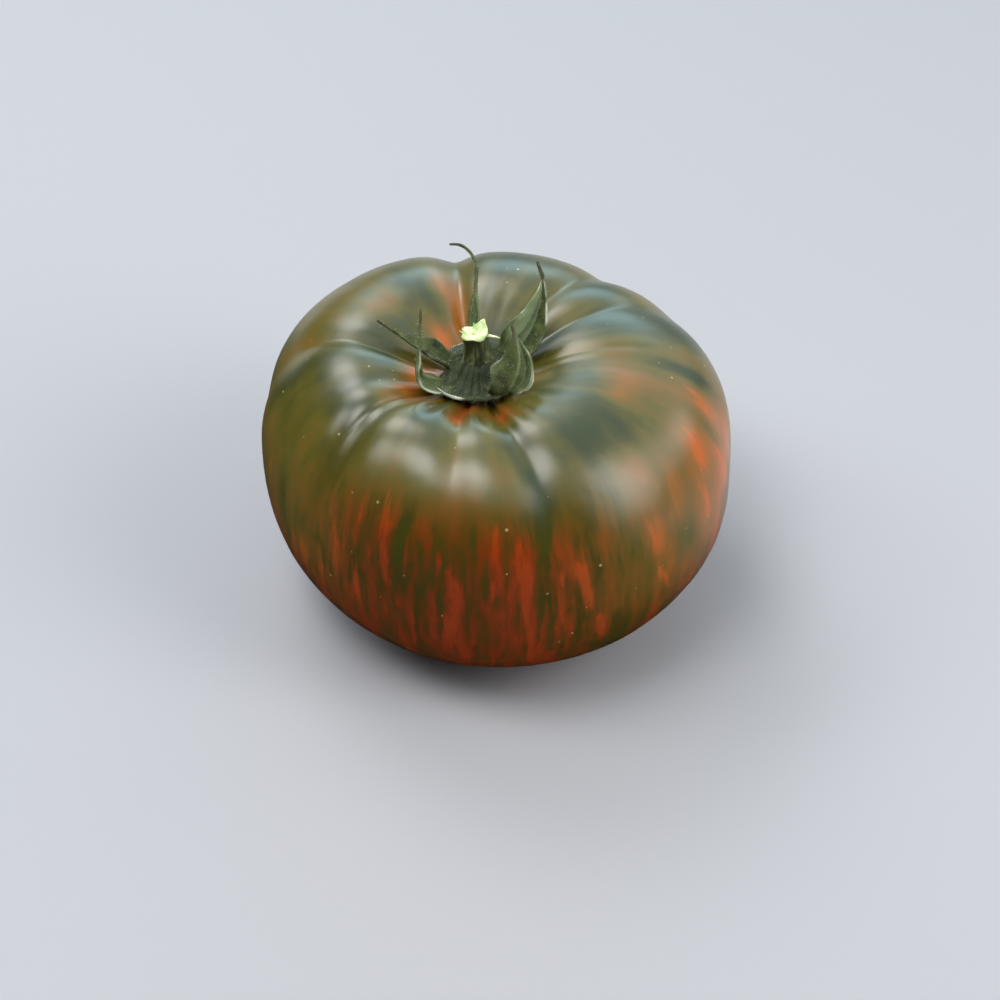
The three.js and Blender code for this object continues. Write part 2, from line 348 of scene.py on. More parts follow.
# ripe flushes: azimuth, tilt, spread in azimuth, spread in tilt, amount
ripeFlushes = [
    (104, 108, 6, 20, 0.55), (124, 121, 14, 10, 0.8), (111, 92, 5, 12, 0.35), (140, 91, 8, 9, 0.3),
    (-148, 110, 8, 8, 0.6), (-146, 97, 6, 6, 0.3), (-103, 103, 5, 7, 0.55), (-74, 110, 6, 8, 0.55),
    (-7, 88, 13, 8, 0.3), (-23, 80, 11, 8, 0.36), (-18, 22, 28, 36, 0.3),
    (-12, 48, 5, 13, 0.32), (-26, 42, 5, 15, 0.32), (-40, 32, 4, 13, 0.24), (-31, 18, 4, 14, 0.3),
    (-26, -4, 5, 14, 0.25), (-18, 16, 4, 13, 0.28), (-49, 18, 4, 14, 0.3), (-6, 20, 5, 18, 0.28),
    (-170, 126, 20, 14, 1.0), (150, 90, 9, 9, 0.3), (-14, 121, 14, 8, 0.4), (-50, 119, 14, 7, 0.3),
    (-97, 119, 8, 8, 0.45),
    (-90, -8, 40, 30, 0.1), (-146, 8, 14, 18, 0.05),
    (40, 10, 40, 40, 0.12), (100, -10, 50, 30, 0.2), (180, -25, 50, 25, 0.18),
]
# dark green bands: azimuth, tilt at top and bottom, half width in degrees, strength
greenBands = [
    (-76, 70, 36, 3, 0.45), (-78, 34, -10, 2, 0.35), (-113, 44, 10, 2.4, 0.4), (-94, 44, 18, 3, 0.3),
    (-57, 24, -14, 5, 0.15), (-39, 18, 0, 3, 0.4), (-45, 30, 18, 2, 0.2), (-17, 46, 28, 2.2, 0.45),
    (-3, 66, 42, 3, 0.5), (-75, -20, -40, 1.6, 0.4), (-163, 80, 20, 10, 0.08), (-46, 92, 62, 16, 0.28),
    (20, 90, 40, 10, 0.25), (75, 100, 30, 12, 0.2), (125, 96, 80, 8, 0.2), (45, 90, 60, 9, 0.3),
    (178, 116, 100, 12, 0.3),
]
# where ripe means red: from the first tilt to the second, in front, round the rest, and by the calyx, where the
# darker red-brown is partly real colour and partly painted shade in the deep dimple
belly = {"azimuth": -100, "spread": 38, "front": (64, 30), "round": (4, -42), "calyx": (96, 108)}


def skinLines(points):
    # azimuth of the meridian that each point lies on, and its tilt about the core ring, in degrees
    away = points[:, :2] / mm - blossomAxis / mm
    offset = (stemAxis - blossomAxis) / mm
    upper = points[:, 2] / mm > fruit["girthHeight"]
    line = away.copy()
    for _ in range(12):
        reach = np.hypot(*line.T)
        aside = (1 - smoothRamp(reach, fruit["asideCore"], fruit["girthRadius"])) * upper
        line = away - aside[:, None] * offset
    azimuth = np.degrees(np.arctan2(line[:, 1], line[:, 0]))
    rise = points[:, 2] / mm - fruit["girthHeight"]
    tilt = np.degrees(np.arctan2(rise, np.hypot(*line.T) - fruit["coreRadius"]))
    return azimuth, tilt


def shapeSkin(obj):
    mesh = obj.data
    points, normals = getPoints(mesh), getNormals(mesh)
    azimuth, tilt = skinLines(points)
    lift = np.full(len(points), -fruit["sunk"])
    for height, waves in (fruit["swell"], fruit["ripple"], fruit["peel"]):
        lift += height * np.array([noise.noise(Vector(point * waves)) for point in points])
    for middle, depth, halfWidth, fade in fruit["creases"]:
        near = turnApart(azimuth, middle) / halfWidth
        lift -= depth / (1 + near * near) * smoothRamp(tilt, fade, fade + 40) * (tilt < 128)
    for middle, height, halfWidth, low, high in fruit["fills"]:
        near = turnApart(azimuth, middle) / halfWidth
        lift += height / (1 + near * near) * smoothRamp(tilt, low - 30, low) * (1 - smoothRamp(tilt, high, high + 30))
    depth, count = fruit["shoulderPleats"]
    uneven = count * np.radians(azimuth) + 1.6 * np.sin(np.radians(5 * azimuth))
    ahead = np.exp(-((turnApart(azimuth, -100) / 45) ** 4))  # deepest in front of the stem
    lift += depth * (0.15 + ahead) * np.cos(uneven) * smoothRamp(tilt, 90, 108)
    scar = fruit["scar"]
    fromScar = np.hypot(*(points[:, :2] - blossomAxis).T) / mm / scar["radius"]
    lift *= smoothRamp(fromScar, 3.2, 5.5)  # the resting spot stays flat
    under = tilt < -60
    lift -= scar["depth"] * np.exp(-fromScar**4) * under
    setPoints(mesh, points + normals * (lift * mm)[:, None])
    return azimuth, tilt


def paintSkin(mesh, azimuth, tilt):
    around = np.radians(azimuth)
    setAttribute(mesh, "skinLine", np.stack([np.cos(around), np.sin(around), tilt / 90], 1), "FLOAT_VECTOR")
    streak = np.zeros(len(azimuth))
    for top, bottom, high, low, width, strength in ripeStreaks:
        share = np.clip((high - tilt) / (high - low), 0, 1)
        middle = top + (bottom - top) * share
        halfWidth = np.degrees(width / 2 / fruit["girthRadius"]) * (0.35 + 0.65 * np.sin(np.pi * share) ** 0.5)
        across = np.abs(turnApart(azimuth, middle)) / halfWidth
        ends = smoothRamp(tilt, low - 4, low + 8) * (1 - smoothRamp(tilt, high - 8, high + 4))
        streak = np.maximum(streak, strength * ends * (1 - smoothRamp(across, 0.35, 1.5)))
    flush = np.zeros(len(azimuth))
    for middle, height, wide, tall, amount in ripeFlushes:
        apart = (turnApart(azimuth, middle) / wide) ** 2 + ((tilt - height) / tall) ** 2
        flush += amount * np.exp(-apart)
    green = np.zeros(len(azimuth))
    for middle, high, low, halfWidth, strength in greenBands:
        ends = smoothRamp(tilt, low - 14, low + 14) * (1 - smoothRamp(tilt, high - 14, high + 14))
        green += strength * ends * np.exp(-((turnApart(azimuth, middle) / halfWidth) ** 2))
    setAttribute(mesh, "streak", streak)
    setAttribute(mesh, "flush", flush - green)
    ahead = np.exp(-((turnApart(azimuth, belly["azimuth"]) / belly["spread"]) ** 4))
    red = ahead * (1 - smoothRamp(tilt, *sorted(belly["front"])))
    red += (1 - ahead) * (1 - smoothRamp(tilt, *sorted(belly["round"])))
    # partly painted shade: the darker red-brown belly colours laid in front of the calyx, deep in the dimple
    red += 0.6 * ahead * smoothRamp(tilt, *belly["calyx"])
    setAttribute(mesh, "belly", red)


skinLook = {
    "ripeness": 0.32,
    "greenShoulders": 0.1,  # how much less ripe the skin is near the calyx
    # unripe to ripe, on the shoulders and on the belly
    "shoulder": [(0.0, (0.018, 0.027, 0.004)), (0.15, (0.04, 0.041, 0.005)), (0.32, (0.076, 0.066, 0.008)),
                 (0.52, (0.124, 0.07, 0.01)), (0.75, (0.21, 0.08, 0.009)), (1.0, (0.36, 0.082, 0.006))],
    "belly": [(0.0, (0.042, 0.038, 0.002)), (0.15, (0.06, 0.034, 0.0012)), (0.35, (0.1, 0.028, 0.0008)),
              (0.6, (0.16, 0.023, 0.0004)), (1.0, (0.235, 0.028, 0.0003))],
    "warp": 0.028,  # how far streaks stray sideways
    "roughness": (0.279, 0.297),
    "gloss": 0.5,
    "speck": (0.55, 0.5, 0.25),
    "scar": (0.12, 0.075, 0.035),
}


def skinMaterial():
    skin = Nodes(bpy.data.materials.new("striped tomato skin"))
    where = skin.add("TexCoord").outputs["Object"]
    line = skin.attribute("skinLine", "Vector")
    tilt = skin.math("MULTIPLY", skin.add("SeparateXYZ", {0: line}).outputs["Z"], 90.0)
    stray = skin.vector("SUBTRACT", skin.noise(where, (330, 330, 330), output="Color"), (0.5, 0.5, 0.5))
    line = skin.vector("ADD", line, skin.vector("MULTIPLY", stray, (skinLook["warp"],) * 3))
    low = skin.attribute("belly")
    far = skin.ramp(tilt, 75, 15)  # streaks fade out up the shoulders
    broad = skin.noise(line, (4.5, 4.5, 1.2), 2)
    blotch = skin.noise(where, (95, 95, 95), 3, 0.55)
    bands = skin.noise(line, (14, 14, 1.6), 3, 0.5)
    dashes = skin.noise(line, (26, 26, 3.6), 3, 0.5)
    fibres = skin.noise(line, (80, 80, 8), 2)
    ripe = skin.math("MULTIPLY_ADD", broad, 0.8, skinLook["ripeness"] - 0.4)
    ripe = skin.math("MULTIPLY_ADD", skin.math("SUBTRACT", blotch, 0.5), 0.7, ripe)
    lined = skin.math("MULTIPLY_ADD", dashes, 0.5, skin.math("MULTIPLY_ADD", bands, 0.5, -0.5))
    ripe = skin.math("MULTIPLY_ADD", lined, skin.math("MULTIPLY_ADD", far, 0.6, 0.1), ripe)
    ripe = skin.math("ADD", ripe, skin.attribute("flush"))
    ripe = skin.math("MULTIPLY_ADD", skin.ramp(tilt, 58, 85), -skinLook["greenShoulders"], ripe)
    flame = skin.math("MULTIPLY_ADD", skin.math("SUBTRACT", fibres, 0.5), 0.12, lined)
    flame = skin.math("MULTIPLY_ADD", skin.ramp(flame, -0.1, 0.15), 0.6, -0.18)
    start = skin.math("MULTIPLY_ADD", skin.math("SUBTRACT", blotch, 0.5), 70.0, tilt)
    start = skin.math("MULTIPLY_ADD", skin.math("SUBTRACT", bands, 0.5), -60.0, start)
    flame = skin.math("MULTIPLY", flame, skin.ramp(start, 58, 30))  # flames start at uneven heights
    ripe = skin.math("MULTIPLY_ADD", flame, low, ripe)
    ragged = skin.math("MULTIPLY_ADD", skin.math("SUBTRACT", dashes, 0.5), 1.1, skin.attribute("streak"))
    ragged = skin.math("MULTIPLY_ADD", skin.math("SUBTRACT", fibres, 0.5), 0.9, ragged)
    ripe = skin.math("MULTIPLY_ADD", skin.ramp(ragged, 0.15, 1.1), 0.5, ripe)
    color = skin.mix(low, skin.colors(ripe, skinLook["shoulder"]), skin.colors(ripe, skinLook["belly"]))
    spots = skin.add("TexVoronoi", {"Vector": where, "Scale": 500.0}, feature="F1")
    chance = skin.add("SeparateColor", {0: spots.outputs["Color"]}).outputs
    size = skin.math("MULTIPLY_ADD", chance[1], 0.09, 0.05)
    speck = skin.ramp(skin.math("DIVIDE", spots.outputs["Distance"], size), 1.2, 0.6)
    speck = skin.math("MULTIPLY", speck, skin.math("GREATER_THAN", chance[0], 0.78))
    color = skin.mix(skin.math("MULTIPLY", speck, 0.42), color, skinLook["speck"])
    color = skin.mix(skin.ramp(tilt, -121.5, -124), color, skinLook["scar"])
    skin.surface("Base Color", color)
    smooth, dull = skinLook["roughness"]
    skin.surface("Roughness", skin.math("MULTIPLY_ADD", broad, dull - smooth, smooth))
    skin.surface("Specular IOR Level", skinLook["gloss"])
    pores = skin.noise(where, (1400, 1400, 1400), 2)
    skin.bump(skin.math("MULTIPLY_ADD", pores, 0.5, speck), 0.12, 0.0001)
    return skin.owner


def makeFruit():
    mesh = frame["nodes"]["fruit"].data.copy()
    obj = bpy.data.objects.new("fruit_skin", mesh)
    bpy.context.scene.collection.objects.link(obj)
    selectOnly(obj)
    bpy.ops.object.mode_set(mode="EDIT")
    bpy.ops.mesh.select_all(action="SELECT")
    bpy.ops.mesh.remove_doubles(threshold=0.002 * mm)
    bpy.ops.mesh.tris_convert_to_quads()
    bpy.ops.object.mode_set(mode="OBJECT")
    applyModifier(obj, "SUBSURF", levels=2, render_levels=2)
    azimuth, tilt = shapeSkin(obj)
    paintSkin(mesh, azimuth, tilt)
    finishPiece(obj, skinMaterial(), "fruit")


makeFruit()
print("fruit done")


# calyx: a thin saucer in the dimple and the sepals that grow from it, measured from the stem's foot

calyx = {
    "saucerRadius": 6.8,
    "lip": {"azimuth": -104, "spread": 58, "reach": 2.6},  # where the rim runs further out
    "gap": {"azimuth": 178, "spread": 30, "cut": 2.4},  # and where it draws in between two sepals
    "rim": {"thickness": 0.5, "curl": 0.8, "wave": 0.06, "waves": 3},
    "collar": {"radius": 2.4, "skirt": 2.6, "height": 4.7},
    "ribs": {"height": 0.55, "spread": 13},  # ridges from the stalk to each sepal
    "grooves": {"depth": 0.12, "count": 23},  # and fine ones all round the bowl
    "bridge": 34,  # degrees to either side over which the saucer bridges furrows
    "clear": (0.05, 0.3),  # gap to the fruit below, in the middle and at the rim
    "bladeThickness": 0.62,
    "bladeSteps": (90, 22),
    "thread": 0.5,  # width of a sepal's dry tip
    "voxel": 0.13,
    "relief": {"midrib": 0.13, "sideVeins": 0.05, "wrinkles": 0.06},
    "hairs": {"count": 1500, "length": (0.25, 0.7), "width": 0.04},
}
# each sepal: azimuth that its back faces, full width, share of that at its foot, shares of its length where it
# is full and where only a thread is left, depth of its fold, how far one edge rolls back, edge wave, how pale
# each half is (partly its real pale bloom, partly painted light on one half and painted shade on the other), middle
# line
sepals = [
    {"azimuth": 172, "width": 4.9, "foot": 0.4, "full": 0.35, "tail": 0.84, "cup": 0.62, "roll": 0, "wave": 0.16,
     "pale": (0.0, -0.2),
     "path": [(-3, 0.4, 1.6), (-4.7, 0.5, 2.6), (-9.1, 1.2, 5.5), (-13, 1.7, 8.3), (-15.8, 2.1, 10.4)]},
    {"azimuth": 177, "width": 4.4, "foot": 0.5, "full": 0.35, "tail": 0.95, "cup": 0.4, "roll": 0, "wave": 0.12,
     "pale": (0.2, 0.25),
     "path": [(-3, -2.6, 1.6), (-6.6, -5.8, 3.2), (-9, -6.2, 4.6), (-9.5, -5.6, 6.9), (-9.1, -4, 10.4),
              (-8.7, -1, 15.3)]},
    {"azimuth": 92, "width": 1.9, "foot": 0.8, "full": 0.35, "tail": 0.62, "cup": 0.9, "roll": 0, "wave": 0.06,
     "pale": (0.2, 0.2),
     "path": [(0, 3, 1.6), (-0.5, 5, 3.9), (-0.6, 7, 6.1), (-0.3, 11.5, 10.3), (-0.3, 14, 12.6),
              (-1.4, 15.5, 13.9), (-2.9, 16.2, 14.6), (-4.6, 16.4, 14.6)]},
    {"azimuth": 68, "width": 6.8, "foot": 0.5, "full": 0.35, "tail": 0.93, "cup": 0.85, "roll": 0, "wave": 0.14,
     "pale": (-0.5, 0.75),
     "path": [(2.8, 1.7, 1.6), (6, 3.6, 2.8), (8.7, 5.7, 5.5), (10.2, 8.5, 9.4), (10.4, 10.5, 12.3),
              (9.5, 12, 14.5)]},
    {"azimuth": -66, "width": 7.2, "foot": 0.42, "full": 0.56, "tail": 0.98, "cup": 0.5, "roll": 0.6, "wave": 0.16,
     "pale": (-0.2, 0.35),
     "path": [(2, -3.4, 1.6), (3.4, -6.8, 2.9), (4.1, -8.3, 4.2), (5.2, -7.7, 5.8), (6.2, -6, 8.2),
              (6.1, -4.3, 10.6), (5.8, -3, 11.9), (5.4, -1.9, 12.9)]},
]


def smoothPath(points, shares):
    # points along a centripetal curve through the given ones, spaced by length
    given = np.array(points, float)
    padded = np.vstack([2 * given[0] - given[1], given, 2 * given[-1] - given[-2]])
    dense = []
    step = np.linspace(0, 1, 24)[:, None]
    for a, b, c, d in zip(padded, padded[1:], padded[2:], padded[3:]):
        before, here, after = (math.sqrt(np.linalg.norm(q - p)) for p, q in ((a, b), (b, c), (c, d)))
        leave = here * ((b - a) / before - (c - a) / (before + here) + (c - b) / here)
        reach = here * ((c - b) / here - (d - b) / (here + after) + (d - c) / after)
        square, cube = step**2, step**3
        dense.append((2 * cube - 3 * square + 1) * b + (cube - 2 * square + step) * leave
                     + (3 * square - 2 * cube) * c + (cube - square) * reach)
    dense = np.vstack(dense)
    length = np.concatenate([[0], np.cumsum(np.linalg.norm(np.diff(dense, axis=0), axis=1))])
    return np.stack([np.interp(shares * length[-1], length, axis) for axis in dense.T], 1)


def skinHeight(tree, point):
    hit = tree.ray_cast(Vector((point[0] * mm, point[1] * mm, 0.1)), Vector((0, 0, -1)))[0]
    return hit.z / mm if hit else 0


def bridgedHeight(tree, point):
    # height of a thin sheet that lies across the furrows and on the lobes near this point
    away = np.array(point) - stemFoot[:2] / mm
    heights = []
    for turn in np.radians(np.linspace(-calyx["bridge"], calyx["bridge"], 9)):
        turned = (away[0] * math.cos(turn) - away[1] * math.sin(turn),
                  away[0] * math.sin(turn) + away[1] * math.cos(turn))
        heights.append(skinHeight(tree, turned + stemFoot[:2] / mm))
    return math.log(np.mean(np.exp(3 * np.array(heights)))) / 3


def makeSepal(tree, number, azimuth, width, foot, full, tail, cup, roll, wave, pale, path):
    along, across = calyx["bladeSteps"]
    bpy.ops.mesh.primitive_grid_add(x_subdivisions=along, y_subdivisions=across, size=2)
    blade = bpy.context.object
    flat = getPoints(blade.data)
    share, place = (flat[:, 0] + 1) / 2, flat[:, 1]
    stations = np.linspace(0, 1, 400)
    line = smoothPath(path, stations)
    heading = np.gradient(line, axis=0)
    heading /= np.linalg.norm(heading, axis=1)[:, None]
    turn = math.radians(azimuth)
    level = np.array([-math.sin(turn), math.cos(turn), 0])
    side = level - heading * (heading @ level)[:, None]
    side /= np.linalg.norm(side, axis=1)[:, None]
    inward = np.cross(heading, side)

    def at(values):
        return np.stack([np.interp(share, stations, column) for column in values.T], 1)

    body = foot + (1 - foot) * smoothRamp(share, full - 0.35, full)
    body *= (1 - smoothRamp(share, full - 0.1, tail)) ** 0.85
    thread = calyx["thread"] * (1 - 0.5 * smoothRamp(share, tail, 1))
    halfWidth = np.maximum(width * body, thread) / 2
    out = np.abs(place)
    fold = cup * halfWidth * out**1.35
    fold -= roll * halfWidth * smoothRamp(place, 0.55, 1)
    ruffle = wave * out**3 * np.sin(share * 27 + number * 2 + 2.2 * place) * smoothRamp(1 - share, 0, 0.4)
    points = at(line) + at(side) * (halfWidth * place)[:, None] + at(inward) * (fold + ruffle)[:, None]
    points += stemFoot / mm
    lowest = np.array([skinHeight(tree, point) for point in points]) + calyx["bladeThickness"]
    points[:, 2] = np.maximum(points[:, 2], lowest)
    setPoints(blade.data, points * mm)
    setAttribute(blade.data, "blade", np.stack([place, share, np.full(len(share), number)], 1), "FLOAT_VECTOR")
    # pale share of each half: partly real bloom, partly painted light on one half and painted shade on the other
    half = smoothRamp(place, -0.12, 0.12)
    setAttribute(blade.data, "pale", (pale[0] + (pale[1] - pale[0]) * half) * smoothRamp(share, 0.1, 0.4))
    thick = blade.vertex_groups.new(name="thick")
    for index, thickness in enumerate((1 - 0.3 * out**2.5) * (1 - 0.25 * share)):
        thick.add([index], thickness, "REPLACE")
    applyModifier(blade, "SOLIDIFY", thickness=calyx["bladeThickness"] * mm, offset=0, vertex_group="thick")
    return blade


def makeSaucer(tree):
    bpy.ops.mesh.primitive_circle_add(vertices=160, radius=1, fill_type="NGON")
    saucer = bpy.context.object
    bpy.ops.object.mode_set(mode="EDIT")
    for _ in range(24):
        bpy.ops.mesh.inset(thickness=0.04)
    bpy.ops.object.mode_set(mode="OBJECT")
    flat = getPoints(saucer.data)
    share = np.minimum(np.hypot(flat[:, 0], flat[:, 1]), 1)
    around = np.arctan2(flat[:, 1], flat[:, 0])
    lip, rim, collar, ribs = calyx["lip"], calyx["rim"], calyx["collar"], calyx["ribs"]
    outward = np.exp(-((turnApart(np.degrees(around), lip["azimuth"]) / lip["spread"]) ** 4))
    reach = calyx["saucerRadius"] + lip["reach"] * outward
    reach += rim["wave"] * np.sin(rim["waves"] * around) * outward
    gap = calyx["gap"]
    reach -= gap["cut"] * np.exp(-((turnApart(np.degrees(around), gap["azimuth"]) / gap["spread"]) ** 2))
    radius = share * reach
    points = np.stack([radius * np.cos(around), radius * np.sin(around)], 1) + stemFoot[:2] / mm
    seat = np.array([bridgedHeight(tree, point) for point in points])
    skirt = np.exp(-((np.maximum(radius - collar["radius"], 0) / collar["skirt"]) ** 2))
    ridge = np.zeros(len(share))
    for sepal in sepals:
        foot = sepal["path"][1]
        apart = turnApart(np.degrees(around), math.degrees(math.atan2(foot[1], foot[0])))
        ridge += ribs["height"] * np.exp(-((apart / ribs["spread"]) ** 2))
    grooves = calyx["grooves"]
    ridge += grooves["depth"] * np.sin(grooves["count"] * around + 1.3 * np.sin(4 * around))
    ridge *= smoothRamp(radius, 1, 3) * (1 - smoothRamp(share, 0.75, 1))
    under, over = calyx["clear"]
    low = seat + under + (over - under) * share**2 + rim["thickness"] + rim["curl"] * smoothRamp(share, 0.78, 1) * outward
    top = np.maximum(low, skirt * (stemFoot[2] / mm + collar["height"]) + (1 - skirt) * low) + ridge
    setPoints(saucer.data, np.column_stack([points, top]) * mm)
    blade = np.stack([np.zeros(len(share)), -share, np.full(len(share), 9)], 1)
    setAttribute(saucer.data, "blade", blade, "FLOAT_VECTOR")
    setAttribute(saucer.data, "pale", np.zeros(len(share)))
    applyModifier(saucer, "SOLIDIFY", thickness=rim["thickness"] * mm, offset=-1)
    return saucer


def dropScraps(obj):
    # keep only what hangs together with the middle of the saucer
    selectOnly(obj)
    bpy.ops.object.mode_set(mode="EDIT")
    bpy.ops.mesh.select_mode(type="VERT")
    bpy.ops.mesh.select_all(action="DESELECT")
    bpy.ops.object.mode_set(mode="OBJECT")
    middle = np.linalg.norm(getPoints(obj.data) - stemFoot, axis=1).argmin()
    obj.data.vertices[int(middle)].select = True
    bpy.ops.object.mode_set(mode="EDIT")
    bpy.ops.mesh.select_linked()
    bpy.ops.mesh.select_all(action="INVERT")
    bpy.ops.mesh.delete(type="VERT")
    bpy.ops.object.mode_set(mode="OBJECT")


def growTogether(obj):
    # one skin over saucer and sepals, which keeps the places across and along each blade
    mesh = obj.data
    places, pale = getAttribute(mesh, "blade", 3), getAttribute(mesh, "pale", 1)
    near = KDTree(len(mesh.vertices))
    for index, vertex in enumerate(mesh.vertices):
        near.insert(vertex.co, index)
    near.balance()
    applyModifier(obj, "REMESH", mode="VOXEL", voxel_size=calyx["voxel"] * mm)
    dropScraps(obj)
    applyModifier(obj, "SMOOTH", factor=0.5, iterations=5)
    mesh = obj.data
    nearest = [near.find(vertex.co)[1] for vertex in mesh.vertices]
    places, pale = places[nearest], pale[nearest]
    points, normals = getPoints(mesh), getNormals(mesh)
    place, share, number = places.T
    relief = calyx["relief"]
    onBlade = smoothRamp(share, 0.1, 0.3)
    lift = -relief["midrib"] * np.exp(-((place / 0.12) ** 2)) * onBlade * (1 - share)
    waves = np.cos(2 * math.pi * (share * 7 - 1.2 * np.abs(place) + number * 0.3))
    lift += relief["sideVeins"] * waves * onBlade * (1 - np.abs(place)) * (1 - share)
    lift += relief["wrinkles"] * np.array([noise.noise(Vector(point * 900)) for point in points])
    setPoints(mesh, points + normals * (lift * mm)[:, None])
    setAttribute(mesh, "blade", places, "FLOAT_VECTOR")
    setAttribute(mesh, "pale", pale)


leafLook = {
    "dark": (0.02, 0.028, 0.008),
    "body": (0.068, 0.09, 0.024),
    # pale hairy bloom, also used as painted light and sheen on the lit halves of sepals
    "bloomAndLitFace": (0.175, 0.235, 0.12),
    # painted shade: dark green laid over the bowl between the stalk and the sepals' feet
    "bowl": (0.012, 0.018, 0.006),
    # pale margins, brightened nearly to white as painted glints on the saucer rim and blade edges
    "paleEdgeAndGlint": (0.74, 0.78, 0.62),
    "tip": (0.045, 0.038, 0.02),
    "roughness": 0.6,
}


def leafMaterial():
    leaf = Nodes(bpy.data.materials.new("hairy green sepal"))
    blade = leaf.attribute("blade", "Vector")
    place = leaf.add("SeparateXYZ", {0: blade})
    where = leaf.add("TexCoord").outputs["Object"]
    mottle = leaf.noise(where, (420, 420, 420), 4, 0.6)
    patches = leaf.noise(where, (150, 150, 150), 2)
    folds = leaf.noise(blade, (5, 1.4, 3), 3)
    # 0 in the bowl and 1 up the blades: the bowl gets less light mottle and less bloom, as painted shade
    bowl = leaf.ramp(place.outputs["Y"], 0.05, 0.35)
    rough = leaf.math("MULTIPLY", leaf.ramp(mottle, 0.3, 0.7), leaf.math("MULTIPLY_ADD", bowl, 0.5, 0.5))
    color = leaf.mix(rough, leafLook["dark"], leafLook["body"])
    # bloom laid on by noise and by each half's pale share: partly real bloom, partly painted light and painted shade
    # on the sepal halves
    pale = leaf.math("MULTIPLY_ADD", leaf.math("SUBTRACT", folds, 0.5), 2.2, leaf.attribute("pale"))
    pale = leaf.math("MULTIPLY", leaf.ramp(pale, 0.0, 1.0), leaf.math("MULTIPLY_ADD", bowl, 0.8, 0.2))
    color = leaf.mix(pale, color, leafLook["bloomAndLitFace"])
    # painted shade over the bowl and the sepals' feet
    shade = leaf.math("MULTIPLY", leaf.ramp(place.outputs["Y"], 0.1, -0.2), 0.6)
    color = leaf.mix(shade, color, leafLook["bowl"])
    # pale blade edges and saucer rim in patches: partly real pale margins, partly painted glints
    paleEdgeAndGlint = leaf.ramp(leaf.math("ABSOLUTE", place.outputs["X"]), 0.86, 0.99)
    rim = leaf.ramp(leaf.math("MULTIPLY", place.outputs["Y"], -1.0), 0.955, 1.0)
    paleEdgeAndGlint = leaf.math("MAXIMUM", leaf.math("MULTIPLY", paleEdgeAndGlint, leaf.math("MULTIPLY", bowl, 0.7)), rim)
    paleEdgeAndGlint = leaf.math("MULTIPLY", paleEdgeAndGlint, leaf.ramp(patches, 0.5, 0.62))
    color = leaf.mix(leaf.math("MULTIPLY", paleEdgeAndGlint, 0.8), color, leafLook["paleEdgeAndGlint"])
    tip = leaf.ramp(place.outputs["Y"], 0.74, 0.95)
    color = leaf.mix(leaf.math("MULTIPLY", tip, 0.8), color, leafLook["tip"])
    leaf.surface("Base Color", color)
    leaf.surface("Roughness", leafLook["roughness"])
    leaf.surface("Specular IOR Level", 0.25)
    leaf.bump(mottle, 0.45, 0.0002)
    return leaf.owner


def makeHairs(source, count, length, width):
    # tiny tapering hairs, one three-sided shape copied over the source with seeded places
    rng = np.random.default_rng(7)
    source.data.calc_loop_triangles()
    triangles = np.array([list(t.vertices) for t in source.data.loop_triangles])
    corners = getPoints(source.data)[triangles]
    normals = np.cross(corners[:, 1] - corners[:, 0], corners[:, 2] - corners[:, 0])
    area = np.linalg.norm(normals, axis=1)
    chosen = rng.choice(len(area), count, p=area / area.sum())
    weight = rng.dirichlet((1, 1, 1), count)
    roots = (corners[chosen] * weight[:, :, None]).sum(1)
    lean = normals[chosen] / area[chosen][:, None] + rng.normal(0, 0.35, (count, 3))
    lean /= np.linalg.norm(lean, axis=1)[:, None]
    vertices, faces = [], []
    for root, heading, size in zip(roots, lean, rng.uniform(*length, count) * mm):
        turn = Vector(heading).to_track_quat("Z", "Y").to_matrix()
        first = len(vertices)
        for corner in range(3):
            angle = corner * 2 * math.pi / 3
            foot = Vector((math.cos(angle), math.sin(angle), 0)) * width / 2 * mm
            vertices.append(Vector(root) + turn @ foot)
        vertices.append(Vector(root) + Vector(heading) * size)
        faces += [(first, first + 1, first + 3), (first + 1, first + 2, first + 3),
                  (first + 2, first, first + 3), (first, first + 2, first + 1)]
    mesh = bpy.data.meshes.new("hairs")
    mesh.from_pydata(vertices, [], faces)
    obj = bpy.data.objects.new("hairs", mesh)
    bpy.context.scene.collection.objects.link(obj)
    return obj


def hairMaterial():
    hair = Nodes(bpy.data.materials.new("pale plant hair"))
    where = hair.add("TexCoord").outputs["Object"]
    color = hair.mix(hair.noise(where, (900, 900, 900)), (0.3, 0.36, 0.22), (0.6, 0.64, 0.5))
    hair.surface("Base Color", color)
    hair.surface("Roughness", 0.45)
    return hair.owner


def makeCalyx():
    base = frame["nodes"]["fruit"].data
    tree = BVHTree.FromPolygons([v.co for v in base.vertices], [list(p.vertices) for p in base.polygons])
    saucer = makeSaucer(tree)
    blades = [makeSepal(tree, number, **sepal) for number, sepal in enumerate(sepals)]
    selectOnly(saucer, *blades)
    bpy.ops.object.join()
    growTogether(saucer)
    saucer.name = "calyx_leaf"
    finishPiece(saucer, leafMaterial(), "calyx")
    hairs = makeHairs(saucer, **calyx["hairs"])
    hairs.name = "calyx_hairs"
    finishPiece(hairs, hairMaterial())


makeCalyx()
print("calyx done")


# stem stub: a ribbed stalk, snapped off and pale inside

